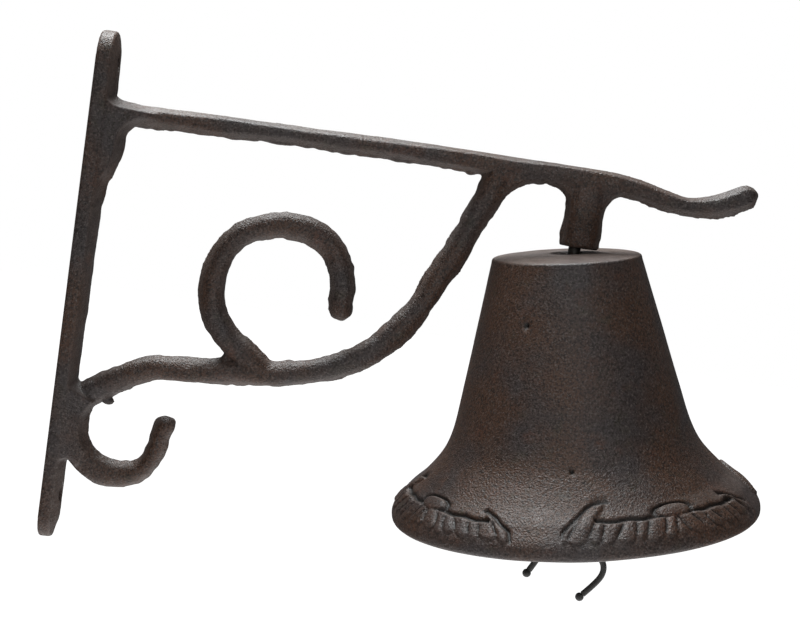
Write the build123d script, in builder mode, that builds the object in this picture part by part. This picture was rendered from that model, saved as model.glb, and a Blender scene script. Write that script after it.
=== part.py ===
from build123d import *
from math import cos, radians, sin, tan
import os

# A cast-iron bell on a scrolled wall bracket. Millimetres, +Z up.
# The wall is the plane X = 0, the bracket reaches out along +X, and the origin is
# midway between the two wall screws. The bracket is symmetrical about the plane Y = 0.

# ---- driving dimensions -------------------------------------------------------------
SCREW_SPACING = 176.4
SCREW_HOLE_R = 2.5
PLATE_TOP = 100.5
PLATE_BOTTOM = -107.1
PLATE_W = 22.0
PLATE_T = 6.5
PLATE_EDGE_R = 0.8

ARM_TOP = 74.6
ARM_H = 8.6
ARM_END = 214.0
HORN_START = 206.0
HORN_BENDS = [(219.0, 0.0), (241.0, -6.2), (262.6, 3.8)]  # X, and Z above the arm's mid line
HORN_BEND_R = 24.0
HORN_W = 8.8
BAR_D = 4.6  # half depth of every cast bar, from the parting plane to its front
BAR_DRAFT = 1.7  # how far the sides of a bar lean in over that depth
BRACE_PATH = [(163.6, 67.0), (127.6, -20.3), (70.0, -28.4), (38.0, -30.2), (5.0, -51.5)]
BRACE_BENDS = [60.0, 80.0, 25.0]
BRACE_W = 10.2
SCROLL_CENTRE = (82.4, 7.8)
SCROLL_R = 26.7
SCROLL_TIP_AT = -7.0  # degrees round its centre
SCROLL_LEAVES_AT = 240.0
SCROLL_ROOT = (86.5, -25.2)
SCROLL_W = 9.8
HOOK_CENTRE = (26.2, -59.4)
HOOK_R = 18.3
HOOK_ROOT_AT = 170.0
HOOK_LEAVES_AT = 352.0
HOOK_TIP = (45.3, -55.6)
HOOK_W = 9.2
GUSSET_D = 6.0
WEB_D = 4.0
FILLET_D = 3.2

POST_X = 200.0
POST_W = 16.0
POST_D = 6.5
POST_END = 43.1

BOLT_X = 198.5
PIVOT_Z = 25.4  # the bell rocks about this point on the bolt
BELL_TILT = 11.0
CLAPPER_TILT = 9.0

CROWN_H = 13.8  # crown edge above the pivot
BELL_H = 106.2
CROWN_R = 30.0
CROWN_DOME = 1.2
CROWN_T = 4.5
CROWN_HOLE_R = 6.5
WAIST_R = 45.6
WAIST_H = 60.3
MOUTH_R = 75.0
WALL = 4.2
SKIRT = [(52.3, -63.7), (61.0, -73.8), (70.0, -81.5)]  # radius, and height above the pivot
SKIRT_END = -89.0
LINING = [(48.2, -66.4), (57.0, -76.7), (65.3, -84.0), (69.6, -90.6)]

BOLT_R = 2.5
BOLT_THREAD = 15.0  # length of bolt that is screwed into the post
NUT_FLATS = 8.0
NUT_LOW = -1.6  # heights above the pivot
NUT_HIGH = 2.4
DOME_R = 8.0
DOME_TOP = 7.2  # heights above the pivot
DISH_LOW = 4.0
SEAT_LOW = 5.2
DISH_T = 1.2
DISH_BORE_R = 4.6
SEAT_BORE_R = 5.8
SEAT_R = 10.5
SEAT_GAP = 0.1
THREAD_PLAY = 0.5
EYE_DROP = 11.0  # eye centre below the pivot
EYE_R = 6.0
EYE_WIRE_R = 2.0

LINK_R = 4.5
LINK_WIRE_R = 1.5
LINK_TOP = 6.7  # centre of the link's upper arc below the eye centre
LINK_BOTTOM = 14.7
LOOP_R = 4.0
LOOP_DROP = 19.9
ROD_R = 1.6
ROD_END = 50.0
NECK_R = 3.4
FOOT_R = 2.4
BOB_R = 11.0
BOB_DROP = 54.0
NECK_H = 12.2  # ends of the bob's neck and foot, above and below its centre
FOOT_H = 12.0
RING_R = 3.6
RING_WIRE_R = 1.4
RING_DROP = 68.0
KNOT_LOOP_DROP = 71.95
KNOT_LOOP_R = 3.2
KNOT_DROP = 76.5
KNOT_R = 3.0

CORD_R = 1.3
ARC_SHARE = 0.45  # of a run of the cord, taken up by the arc at each of its ends
BALL_R = 1.8

# ---- frames -------------------------------------------------------------------------
# In each of these planes local x runs outwards and local y runs up the piece's own axis.


def hanging_plane(x, z, tilt):
    """The vertical plane through (x, 0, z) whose local y leans back by tilt degrees."""
    a = radians(tilt)
    return Plane(origin=(x, 0, z), x_dir=(cos(a), 0, sin(a)), z_dir=(0, -1, 0))


def across(plane, drop):
    """The plane at right angles to a hanging plane, a drop below its origin."""
    return Plane(
        origin=plane.from_local_coords((0, -drop, 0)),
        x_dir=(0, 1, 0),
        z_dir=plane.x_dir,
    )


def spin_axis(plane):
    """The axis that runs up a hanging plane."""
    return Axis(origin=plane.origin, direction=plane.y_dir)


bolt_plane = hanging_plane(BOLT_X, PIVOT_Z, 0)
bell_plane = hanging_plane(BOLT_X, PIVOT_Z, BELL_TILT)
clapper_plane = hanging_plane(BOLT_X, PIVOT_Z - EYE_DROP, CLAPPER_TILT)


# ---- shared shapes ------------------------------------------------------------------
def bar_section(width):
    """Half outline points of a cast bar: widest at the parting plane, narrower in front."""
    front = width / 2 - BAR_DRAFT
    return [
        (0, width / 2),
        (BAR_D, front),
        (BAR_D, -front),
        (0, -width / 2),
        (-BAR_D, -front),
        (-BAR_D, front),
        (0, width / 2),
    ]


def cast_bar(path, width):
    """Sweeps the drafted section along a path that lies in the plane Y = 0."""
    start = Plane(origin=path @ 0, x_dir=(0, 1, 0), z_dir=path % 0)
    with BuildSketch(start) as section:
        with BuildLine():
            Polyline(bar_section(width))
        make_face()
    sweep(sections=section.sketch, path=path)


def bar_tip(point, width):
    """Rounds the end of a cast bar off: the drafted section turned about its mid line."""
    front = width / 2 - BAR_DRAFT
    with BuildSketch(Plane(origin=point, x_dir=(1, 0, 0), z_dir=(0, 0, 1))) as half:
        with BuildLine():
            Polyline(
                (0, -BAR_D), (front, -BAR_D), (width / 2, 0), (front, BAR_D), (0, BAR_D), (0, -BAR_D)
            )
        make_face()
    revolve(profiles=half.sketch, axis=Axis(origin=point, direction=(0, 1, 0)))


def ring(plane, radius, wire_r):
    """A closed wire ring about the plane's normal."""
    with BuildSketch(Plane(origin=plane.origin, x_dir=plane.x_dir, z_dir=plane.y_dir)) as wire:
        with Locations((radius, 0)):
            Circle(wire_r)
    revolve(profiles=wire.sketch, axis=Axis(origin=plane.origin, direction=plane.z_dir))


# ---- bracket: one casting -----------------------------------------------------------
def wall_plate():
    middle = (PLATE_TOP + PLATE_BOTTOM) / 2
    with BuildSketch(Plane.YZ) as outline:
        with Locations((0, middle)):
            SlotOverall(PLATE_TOP - PLATE_BOTTOM, PLATE_W, rotation=90)
    extrude(outline.sketch, amount=PLATE_T)
    front = faces().filter_by(Axis.X).sort_by(Axis.X)[-1]
    fillet(front.edges(), PLATE_EDGE_R)


def arm_and_horn():
    mid = ARM_TOP - ARM_H / 2
    with BuildLine(Plane.XZ) as arm:
        Line((PLATE_T / 2, mid), (ARM_END, mid))
    cast_bar(arm.line, ARM_H)
    bends = [(x, mid + rise) for x, rise in HORN_BENDS]
    with BuildLine(Plane.XZ) as horn:
        FilletPolyline((HORN_START, mid), *bends, radius=HORN_BEND_R)
    cast_bar(horn.line, HORN_W)
    bar_tip(horn.line @ 1, HORN_W)


def brace():
    with BuildLine(Plane.XZ) as path:
        FilletPolyline(*BRACE_PATH, radius=BRACE_BENDS)
    cast_bar(path.line, BRACE_W)


def on_circle(centre, radius, angle):
    a = radians(angle)
    return (centre[0] + radius * cos(a), centre[1] + radius * sin(a))


def scroll():
    with BuildLine(Plane.XZ) as path:
        CenterArc(SCROLL_CENTRE, SCROLL_R, SCROLL_TIP_AT, SCROLL_LEAVES_AT - SCROLL_TIP_AT)
        Line(on_circle(SCROLL_CENTRE, SCROLL_R, SCROLL_LEAVES_AT), SCROLL_ROOT)
    cast_bar(path.line, SCROLL_W)
    bar_tip(path.line @ 0, SCROLL_W)


def filler(outline, depth):
    """Extrudes an outline both ways from the parting plane."""
    extrude(outline, amount=depth, both=True)


def gusset():
    """The swelling of the plate around the root of the arm."""
    with BuildSketch(Plane.XZ) as outline:
        with BuildLine():
            Polyline((11, 74.4), (24, 74.0), (24, 66.2))
            ThreePointArc((24, 66.2), (17.0, 64.0), (14.2, 58.8))
            Polyline((14.2, 58.8), (13.6, 51), (12.2, 45.6), (9.6, 41), (8.4, 33), (7.9, 24), (3, 24))
            Polyline((3, 24), (3, 79.4), (7.4, 79.4))
            ThreePointArc((7.4, 79.4), (8.4, 76.0), (11, 74.4))
        make_face()
    filler(outline.sketch, GUSSET_D)


def hook():
    """An open hook that leaves the plate and turns up to a rounded tip."""
    with BuildLine(Plane.XZ) as path:
        CenterArc(HOOK_CENTRE, HOOK_R, HOOK_ROOT_AT, HOOK_LEAVES_AT - HOOK_ROOT_AT)
        Line(on_circle(HOOK_CENTRE, HOOK_R, HOOK_LEAVES_AT), HOOK_TIP)
    cast_bar(path.line, HOOK_W)
    bar_tip(path.line @ 1, HOOK_W)


def hook_web():
    """Fills the corner between the plate, the brace and the hook."""
    with BuildSketch(Plane.XZ) as outline:
        with BuildLine():
            Polyline((3, -39), (8, -41.5), (18, -48))
            ThreePointArc((18, -48), (13.2, -58.0), (17.2, -68.3))
            Polyline((17.2, -68.3), (10.2, -76.6), (7.6, -73.6), (3, -73.6), (3, -39))
        make_face()
    filler(outline.sketch, WEB_D)


def hanger_post():
    """The boss under the arm that holds the bolt, with a fillet into the arm on each side."""
    top = ARM_TOP - ARM_H / 2
    narrow = POST_W / 2 - BAR_DRAFT
    shoulder = POST_D - 2
    with BuildSketch(Plane(origin=(POST_X, 0, POST_END), z_dir=(0, 0, 1))) as section:
        with BuildLine():
            Line((POST_W / 2, 0), (narrow, shoulder))
            ThreePointArc((narrow, shoulder), (0, POST_D), (-narrow, shoulder))
            Line((-narrow, shoulder), (-POST_W / 2, 0))
            Line((-POST_W / 2, 0), (-narrow, -shoulder))
            ThreePointArc((-narrow, -shoulder), (0, -POST_D), (narrow, -shoulder))
            Line((narrow, -shoulder), (POST_W / 2, 0))
        make_face()
    extrude(section.sketch, amount=top - POST_END)
    left, right = POST_X - POST_W / 2, POST_X + POST_W / 2
    under = ARM_TOP - ARM_H
    with BuildSketch(Plane.XZ) as arch:
        with BuildLine():
            Polyline((left - 7, under), (left - 7, under + 2), (left + 3, under + 2))
            Polyline((left + 3, under + 2), (left + 3, under - 7), (left, under - 7))
            ThreePointArc((left, under - 7), (left - 1.8, under - 1.8), (left - 7, under))
        make_face()
    filler(arch.sketch, FILLET_D)
    with BuildSketch(Plane.XZ) as outer_fillet:
        with BuildLine():
            Polyline((right + 8, under - 0.4), (right + 8, under + 2), (right - 3, under + 2))
            Polyline((right - 3, under + 2), (right - 3, under - 7), (right, under - 7))
            ThreePointArc((right, under - 7), (right + 2.0, under - 2.4), (right + 8, under - 0.4))
        make_face()
    filler(outer_fillet.sketch, FILLET_D)
    with BuildSketch(Plane.XZ) as brace_fillet:
        with BuildLine():
            Polyline((181, under), (181, under + 3), (160, under + 3), (160, 57), (166.4, 57))
            ThreePointArc((166.4, 57), (171.4, 62.8), (181, under))
        make_face()
    filler(brace_fillet.sketch, FILLET_D)


def screw_holes():
    with BuildSketch(Plane.YZ) as holes:
        with GridLocations(SCREW_SPACING, SCREW_SPACING, 1, 2):
            Circle(SCREW_HOLE_R)
    extrude(holes.sketch, amount=PLATE_T, mode=Mode.SUBTRACT)


def bolt_bore():
    with BuildSketch(Plane.XY.offset(POST_END)) as bore:
        with Locations((BOLT_X, 0)):
            Circle(BOLT_R)
    extrude(bore.sketch, amount=BOLT_THREAD, mode=Mode.SUBTRACT)


with BuildPart() as bracket_casting:
    wall_plate()
    arm_and_horn()
    brace()
    scroll()
    gusset()
    hook()
    hook_web()
    hanger_post()
    screw_holes()
    bolt_bore()


# ---- hardware fixed to the bracket --------------------------------------------------
with BuildPart() as eye_bolt:
    shank_bottom = EYE_R - EYE_DROP
    with BuildSketch(Plane.XY.offset(PIVOT_Z + shank_bottom)) as shank:
        with Locations((BOLT_X, 0)):
            Circle(BOLT_R)
    extrude(shank.sketch, amount=POST_END + BOLT_THREAD - THREAD_PLAY - PIVOT_Z - shank_bottom)
    ring(hanging_plane(BOLT_X, PIVOT_Z - EYE_DROP, 0), EYE_R, EYE_WIRE_R)

with BuildPart() as hanger_nut:
    with BuildSketch(Plane.XY.offset(PIVOT_Z + NUT_LOW)) as hexagon:
        with Locations((BOLT_X, 0)):
            RegularPolygon(NUT_FLATS / 2, 6, major_radius=False)
            Circle(BOLT_R, mode=Mode.SUBTRACT)
    extrude(hexagon.sketch, amount=NUT_HIGH - NUT_LOW)


# ---- ball seat: three washers with spherical faces centred on the pivot ---------------
def on_sphere(radius, height):
    """The distance from the axis to a sphere about the pivot, at a height above it."""
    return (radius**2 - height**2) ** 0.5


def sphere_arc(radius, low, high):
    """An arc of the sphere between two heights, drawn in a hanging plane."""
    heights = (low, (low + high) / 2, high)
    ThreePointArc(*[(on_sphere(radius, height), height) for height in heights])


with BuildPart() as dome_washer:
    low, high, bore = NUT_HIGH, DOME_TOP, BOLT_R + SEAT_GAP
    corners = [(bore, high), (bore, low), (on_sphere(DOME_R, low), low)]
    with BuildSketch(bolt_plane) as dome:
        with BuildLine():
            sphere_arc(DOME_R, low, high)
            Polyline((on_sphere(DOME_R, high), high), *corners)
        make_face()
    revolve(dome.sketch, axis=spin_axis(bolt_plane))

with BuildPart() as dished_washer:
    inner = DOME_R + SEAT_GAP
    outer = inner + DISH_T
    low, bore = DISH_LOW, DISH_BORE_R
    inner_top = on_sphere(inner, bore)
    outer_top = on_sphere(outer, bore)
    with BuildSketch(bell_plane) as dish:
        with BuildLine():
            sphere_arc(inner, low, inner_top)
            Line((bore, inner_top), (bore, outer_top))
            sphere_arc(outer, low, outer_top)
            Line((on_sphere(outer, low), low), (on_sphere(inner, low), low))
        make_face()
    revolve(dish.sketch, axis=spin_axis(bell_plane))

with BuildPart() as seat_washer:
    seat = DOME_R + DISH_T + 2 * SEAT_GAP
    low, high, bore = SEAT_LOW, CROWN_H - CROWN_T - SEAT_GAP, SEAT_BORE_R
    seat_top = on_sphere(seat, bore)
    corners = [(bore, high), (SEAT_R, high), (SEAT_R, low), (on_sphere(seat, low), low)]
    with BuildSketch(bell_plane) as cup:
        with BuildLine():
            sphere_arc(seat, low, seat_top)
            Polyline((bore, seat_top), *corners)
        make_face()
    revolve(cup.sketch, axis=spin_axis(bell_plane))


# ---- bell ---------------------------------------------------------------------------
def bell_profile():
    """The bell's half section: straight sides, a flared skirt and a rounded lip."""
    crown = CROWN_H
    under = CROWN_H - CROWN_T
    waist = CROWN_H - WAIST_H
    lip = CROWN_H - BELL_H
    slope = (WAIST_R - CROWN_R) / WAIST_H
    lining = [(WAIST_R - WALL, waist), *LINING]
    skirt = [(WAIST_R, waist), *SKIRT, (MOUTH_R, SKIRT_END)]
    corner = (WAIST_R - WALL - slope * (under - 2 - waist), under - 2)

    def dome(radius):
        return (radius, crown + CROWN_DOME * (1 - (radius / CROWN_R) ** 2))

    dome_edge = dome(CROWN_R - 0.9)
    side_top = (CROWN_R + 0.1, crown - 0.8)
    ThreePointArc(dome(CROWN_HOLE_R), dome(CROWN_R * 0.6), dome_edge)
    ThreePointArc(dome_edge, (CROWN_R - 0.2, crown - 0.2), side_top)
    Line(side_top, skirt[0])
    Spline(*skirt, tangents=[(slope, -1), (0, -1)])
    Line(skirt[-1], (MOUTH_R, lip + 2.4))
    ThreePointArc((MOUTH_R, lip + 2.4), (MOUTH_R - 0.7, lip + 0.7), (MOUTH_R - 2.4, lip))
    Line((MOUTH_R - 2.4, lip), (MOUTH_R - 4.0, lip))
    ThreePointArc((MOUTH_R - 4.0, lip), (MOUTH_R - 5.0, lip + 0.6), lining[-1])
    Spline(*reversed(lining), tangents=[(-0.3, 1), (-slope, 1)])
    Line(lining[0], corner)
    ThreePointArc(corner, (corner[0] - 0.8, under - 0.6), (corner[0] - 2.4, under))
    Line((corner[0] - 2.4, under), (CROWN_HOLE_R, under))
    Line((CROWN_HOLE_R, under), dome(CROWN_HOLE_R))


with BuildPart() as bell:
    with BuildSketch(bell_plane) as section:
        with BuildLine():
            bell_profile()
        make_face()
    revolve(section.sketch, axis=spin_axis(bell_plane))


# ---- clapper ------------------------------------------------------------------------
with BuildPart() as clapper_link:
    link_plane = Plane(origin=clapper_plane.origin, x_dir=(0, 1, 0), z_dir=clapper_plane.x_dir)
    start = (LINK_R, -(LINK_TOP + LINK_BOTTOM) / 2)
    with BuildLine(link_plane) as oval:
        Line(start, (LINK_R, -LINK_TOP))
        ThreePointArc((LINK_R, -LINK_TOP), (0, LINK_R - LINK_TOP), (-LINK_R, -LINK_TOP))
        Line((-LINK_R, -LINK_TOP), (-LINK_R, -LINK_BOTTOM))
        ThreePointArc((-LINK_R, -LINK_BOTTOM), (0, -LINK_BOTTOM - LINK_R), (LINK_R, -LINK_BOTTOM))
        Line((LINK_R, -LINK_BOTTOM), start)
    with BuildSketch(Plane(origin=oval.line @ 0, z_dir=oval.line % 0)) as wire:
        Circle(LINK_WIRE_R)
    sweep(sections=wire.sketch, path=oval.line)

with BuildPart() as clapper_rod:
    loop_plane = across(clapper_plane, LOOP_DROP)
    ring(Plane(origin=loop_plane.origin, x_dir=clapper_plane.x_dir, z_dir=(0, -1, 0)), LOOP_R, LINK_WIRE_R)
    rod_top = clapper_plane.from_local_coords((0, -LOOP_DROP - LOOP_R, 0))
    with BuildSketch(Plane(origin=rod_top, z_dir=-clapper_plane.y_dir)) as rod:
        Circle(ROD_R)
    extrude(rod.sketch, amount=ROD_END - LOOP_DROP - LOOP_R)


def bob_profile():
    """A round iron bob with a short neck above and below, bored for the rod."""
    top, bottom = NECK_H - BOB_DROP, -FOOT_H - BOB_DROP
    upper = -BOB_DROP + (BOB_R**2 - NECK_R**2) ** 0.5
    lower = -BOB_DROP - (BOB_R**2 - FOOT_R**2) ** 0.5
    Line((ROD_R, top), (NECK_R, top))
    Line((NECK_R, top), (NECK_R, upper))
    ThreePointArc((NECK_R, upper), (BOB_R, -BOB_DROP), (FOOT_R, lower))
    Line((FOOT_R, lower), (FOOT_R, bottom))
    Line((FOOT_R, bottom), (0, bottom))
    Line((0, bottom), (0, -ROD_END))
    Line((0, -ROD_END), (ROD_R, -ROD_END))
    Line((ROD_R, -ROD_END), (ROD_R, top))


with BuildPart() as clapper_bob:
    with BuildSketch(clapper_plane) as bob:
        with BuildLine():
            bob_profile()
        make_face()
    revolve(bob.sketch, axis=spin_axis(clapper_plane))
    ring_centre = clapper_plane.from_local_coords((0, -RING_DROP, 0))
    ring(Plane(origin=ring_centre, x_dir=clapper_plane.x_dir, z_dir=(0, -1, 0)), RING_R, RING_WIRE_R)


# ---- pull cord: tied through the bob's ring, its two tails end in melted balls --------
TAIL_LEFT = [
    (209.3, -0.8, -63.9),
    (208.4, -2.3, -71.0),
    (207.6, -1.5, -78.6),
    (204.9, 0.0, -85.6),
    (201.7, 0.3, -92.0),
]
TAIL_RIGHT = [
    (211.8, 0.8, -63.8),
    (215.0, 1.9, -70.2),
    (220.3, 1.2, -75.8),
    (226.4, 0.3, -80.6),
    (231.0, 0.0, -83.4),
    (232.4, -0.1, -87.6),
    (230.6, 0.0, -92.6),
    (225.2, 0.1, -98.9),
]
BALL_LEFT = (200.9, 0.4, -93.5)
BALL_RIGHT = (224.1, 0.1, -100.2)


def corner_radii(points):
    """An arc for each corner of a route that takes up the same share of its shorter run."""
    vectors = [Vector(*p) for p in points]
    radii = []
    for before, here, after in zip(vectors, vectors[1:], vectors[2:]):
        turn = (here - before).get_angle(after - here)
        shorter = min((here - before).length, (after - here).length)
        radii.append(ARC_SHARE * shorter / tan(radians(turn / 2)))
    return radii


def cord_tube(points):
    radii = corner_radii(points)
    with BuildLine() as route:
        FilletPolyline(*points, radius=radii)
    with BuildSketch(Plane(origin=route.line @ 0, z_dir=route.line % 0)) as section:
        Circle(CORD_R)
    sweep(sections=section.sketch, path=route.line)
    print("cord length", round(route.wire().length, 2), "radii", [round(r, 1) for r in radii])


def ball_end(centre):
    with BuildSketch(Plane(origin=centre, x_dir=(1, 0, 0), z_dir=(0, -1, 0))) as half:
        Circle(BALL_R)
        with Locations((-BALL_R, 0)):
            Rectangle(2 * BALL_R, 2 * BALL_R, mode=Mode.SUBTRACT)
    revolve(half.sketch, axis=Axis(origin=centre, direction=(0, 0, 1)))


with BuildPart() as cord_knot:
    loop_centre = clapper_plane.from_local_coords((0, -KNOT_LOOP_DROP, 0))
    ring(Plane(origin=loop_centre, x_dir=(0, 1, 0), z_dir=clapper_plane.x_dir), KNOT_LOOP_R, CORD_R)
    with BuildSketch(clapper_plane) as lump:
        with Locations((0, -KNOT_DROP)):
            Circle(KNOT_R)
        with Locations((-KNOT_R, -KNOT_DROP)):
            Rectangle(2 * KNOT_R, 2 * KNOT_R, mode=Mode.SUBTRACT)
    revolve(lump.sketch, axis=spin_axis(clapper_plane))

with BuildPart() as cord_tail_left:
    cord_tube(TAIL_LEFT)

with BuildPart() as cord_tail_right:
    cord_tube(TAIL_RIGHT)

with BuildPart() as cord_end_left:
    ball_end(BALL_LEFT)

with BuildPart() as cord_end_right:
    ball_end(BALL_RIGHT)


# ---- hand over ----------------------------------------------------------------------
pieces = {
    "bracket_casting": bracket_casting,
    "eye_bolt": eye_bolt,
    "hanger_nut": hanger_nut,
    "dome_washer": dome_washer,
    "dished_washer": dished_washer,
    "seat_washer": seat_washer,
    "bell": bell,
    "clapper_link": clapper_link,
    "clapper_rod": clapper_rod,
    "clapper_bob": clapper_bob,
    "cord_knot": cord_knot,
    "cord_tail_left": cord_tail_left,
    "cord_tail_right": cord_tail_right,
    "cord_end_left": cord_end_left,
    "cord_end_right": cord_end_right,
}

os.makedirs("parts", exist_ok=True)
for name, piece in pieces.items():
    piece.part.label = name
    export_step(piece.part, f"parts/{name}.step")
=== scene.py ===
import itertools
import math

import bmesh
import bpy
import numpy as np
from mathutils import Matrix, Vector


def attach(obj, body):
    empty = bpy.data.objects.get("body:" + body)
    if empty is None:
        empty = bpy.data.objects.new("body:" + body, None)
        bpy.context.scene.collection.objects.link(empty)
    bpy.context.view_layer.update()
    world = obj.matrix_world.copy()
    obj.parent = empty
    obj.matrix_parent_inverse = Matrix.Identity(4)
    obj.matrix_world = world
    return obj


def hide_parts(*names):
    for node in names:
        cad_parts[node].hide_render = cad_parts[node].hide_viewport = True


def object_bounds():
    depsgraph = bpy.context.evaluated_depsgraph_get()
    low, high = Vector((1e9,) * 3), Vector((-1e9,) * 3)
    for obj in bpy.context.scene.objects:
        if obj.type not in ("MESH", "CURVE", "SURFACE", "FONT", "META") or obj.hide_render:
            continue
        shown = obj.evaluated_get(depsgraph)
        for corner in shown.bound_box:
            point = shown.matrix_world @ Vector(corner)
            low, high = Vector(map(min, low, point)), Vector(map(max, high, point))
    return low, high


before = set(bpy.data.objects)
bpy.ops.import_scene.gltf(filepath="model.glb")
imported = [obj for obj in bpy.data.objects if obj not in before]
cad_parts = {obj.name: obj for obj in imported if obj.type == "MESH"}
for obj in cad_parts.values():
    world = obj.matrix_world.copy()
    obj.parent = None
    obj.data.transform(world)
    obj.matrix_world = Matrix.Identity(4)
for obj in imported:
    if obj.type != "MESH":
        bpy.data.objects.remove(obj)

# A cast-iron bell on a scrolled wall bracket. Lengths below are in millimetres in the
# part's own frame (wall face at X = 0, +Z up); MM turns them into Blender's metres.
MM = 0.001
CAD_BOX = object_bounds()

# ---- driving dimensions, as in the CAD part ---------------------------------------------
PLATE_TOP, PLATE_BOTTOM = 100.4, -107.0
PLATE_W, PLATE_T = 22.0, 6.5
PLATE_TAPER = 0.007  # the plate is a little thicker at its upper end
SCREW_Z, SCREW_R = 88.2, 2.4
SCREW_MOUTH_R, SCREW_MOUTH_DEPTH = 3.5, 2  # the wider mouth, and its depth below PLATE_T
ARM_TOP, ARM_H = 74.5, 8.7
BAR_D = 4.7  # half the depth of the arm, and ROUND_BAR_D of the rounder bars
ROUND_BAR_D = 1.12 * BAR_D
ARM_TOP_LEAN, ARM_UNDER_LEAN = 1.3, 2.6  # how far its top and underside slope in
POST_X, POST_W, POST_D, POST_END = 200.0, 15.8, 6.4, 43.2
BOLT_X, PIVOT_Z = 198.5, 25.4
BELL_TILT = math.radians(11)
BELL_HOLE_R = 6.5
# The bell's wall as (radius, height above the pivot): where it starts to flare, outside and
# inside, then the flare itself.
WAIST_OUT, WAIST_IN = (45.6, -46.5), (41.4, -46.5)
SKIRT = [(52.3, -63.7), (61.0, -73.8), (70.0, -81.5)]
LINING = [(48.2, -66.4), (57.0, -76.7), (65.3, -84.0)]
MOUTH_R = 75.0

# ---- camera -----------------------------------------------------------------------------
CAMERA_AT = (119.2, -680.0, 96.6)
CAMERA_PITCH = math.radians(7.73)
CAMERA_ROLL = math.radians(8.60)
CAMERA_LENS = 76.3


def make_camera():
    """Looks along +Y, tipped down, and rolled so that the bracket leans as it is held."""
    cr, sr = math.cos(CAMERA_ROLL), math.sin(CAMERA_ROLL)
    c, s = math.cos(CAMERA_PITCH), math.sin(CAMERA_PITCH)
    right = Vector((cr, 0, sr))
    up = Vector((-sr * c, s, cr * c))
    back = -Vector((sr * s, c, -cr * s))
    matrix = Matrix((right, up, back)).transposed().to_4x4()
    matrix.translation = Vector(CAMERA_AT) * MM
    data = bpy.data.cameras.new("camera")
    data.lens = CAMERA_LENS
    data.sensor_width = 36
    data.clip_start = 0.01
    data.clip_end = 50
    camera = bpy.data.objects.new("camera", data)
    camera.matrix_world = matrix
    bpy.context.scene.collection.objects.link(camera)
    bpy.context.scene.camera = camera


# ---- noise ------------------------------------------------------------------------------
def hashed(cells, seed):
    """A fixed pseudo-random number from -1 to 1 for each whole-number cell."""
    mixed = cells[:, 0] * 73856093 ^ cells[:, 1] * 19349663 ^ cells[:, 2] * 83492791
    mixed = mixed ^ seed * 2654435761
    mixed = (mixed ^ (mixed >> 13)) * 1274126177 & 0x7FFFFFFF
    mixed = (mixed ^ (mixed >> 16)) & 0xFFFF
    return mixed / 32767.5 - 1


def smooth_noise(points, size, seed=0):
    """Smooth noise from -1 to 1 at points in mm, with bumps about size mm wide."""
    p = np.asarray(points, float) / size
    low = np.floor(p).astype(np.int64)
    t = p - low
    t = t * t * (3 - 2 * t)
    total = np.zeros(len(p))
    for corner in itertools.product((0, 1), repeat=3):
        near = np.abs(1 - np.array(corner) - t)
        total += near[:, 0] * near[:, 1] * near[:, 2] * hashed(low + corner, seed)
    return total


def step(x, low, high):
    """A smooth step from 0 to 1 between low and high."""
    t = np.clip((x - low) / (high - low), 0, 1)
    return t * t * (3 - 2 * t)


# ---- mesh helpers -----------------------------------------------------------------------
def new_object(name, verts_mm, faces, material=None):
    mesh = bpy.data.meshes.new(name)
    mesh.from_pydata((np.asarray(verts_mm) * MM).tolist(), [], faces)
    mesh.validate()
    mesh.update()
    if material:
        mesh.materials.append(material)
    obj = bpy.data.objects.new(name, mesh)
    bpy.context.scene.collection.objects.link(obj)
    return obj


def loft(rings, closed=False):
    """Joins rings of equal length into one closed shell, capped unless it is a loop."""
    rings = [np.asarray(r, float) for r in rings]
    n = len(rings[0])
    verts = np.concatenate(rings)
    faces = []
    count = len(rings)
    for i in range(count if closed else count - 1):
        a, b = i * n, (i + 1) % count * n
        for j in range(n):
            k = (j + 1) % n
            faces.append((a + j, a + k, b + k, b + j))
    if not closed:
        faces.append(tuple(range(n - 1, -1, -1)))
        faces.append(tuple((count - 1) * n + j for j in range(n)))
    return verts, faces


def joined(shells):
    """Puts several shells' corners and faces in one list of each."""
    verts, faces, offset = [], [], 0
    for v, f in shells:
        verts.append(v)
        faces += [tuple(i + offset for i in face) for face in f]
        offset += len(v)
    return np.concatenate(verts), faces


# ---- bracket shapes ---------------------------------------------------------------------
def run_length(points):
    """The distance along a line of points, from the first to each of them."""
    return np.concatenate([[0], np.cumsum(np.linalg.norm(np.diff(points, axis=0), axis=1))])


def measured(points):
    """A smooth centre line and its widths through (x, z, width) points, about a mm apart."""
    p = np.array(points, float)
    line = hermite(p[:, :2], p[1, :2] - p[0, :2], p[-1, :2] - p[-2, :2], 1.2)
    chord, along = run_length(p[:, :2]), run_length(line)
    return line, np.interp(along / along[-1], chord / chord[-1], p[:, 2])


def cast_bar(points, section, tip=False):
    """A bar along (x, z, width) points. A tip closes its end in a rounded nose."""
    path, widths = measured(points)
    ahead = np.gradient(path, axis=0)
    ahead /= np.linalg.norm(ahead, axis=1)[:, None]
    side = np.stack([-ahead[:, 1], ahead[:, 0]], 1)
    places = [(p, s, w, 1.0) for p, s, w in zip(path, side, widths)]
    if tip:
        for a in np.radians((25, 50, 70, 84)):
            p = path[-1] + ahead[-1] * math.sin(a) * widths[-1] / 2
            places.append((p, side[-1], widths[-1] * math.cos(a), 0.35 + 0.65 * math.cos(a)))
    waver = smooth_noise([(p[0], 0, p[1]) for p, *_ in places], 17, 21)
    rings = []
    for (p, s, w, thin), wave in zip(places, waver):
        rings.append([(p[0] + s[0] * n, y, p[1] + s[1] * n) for y, n in section(w, thin, wave)])
    return loft(rings)


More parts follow.
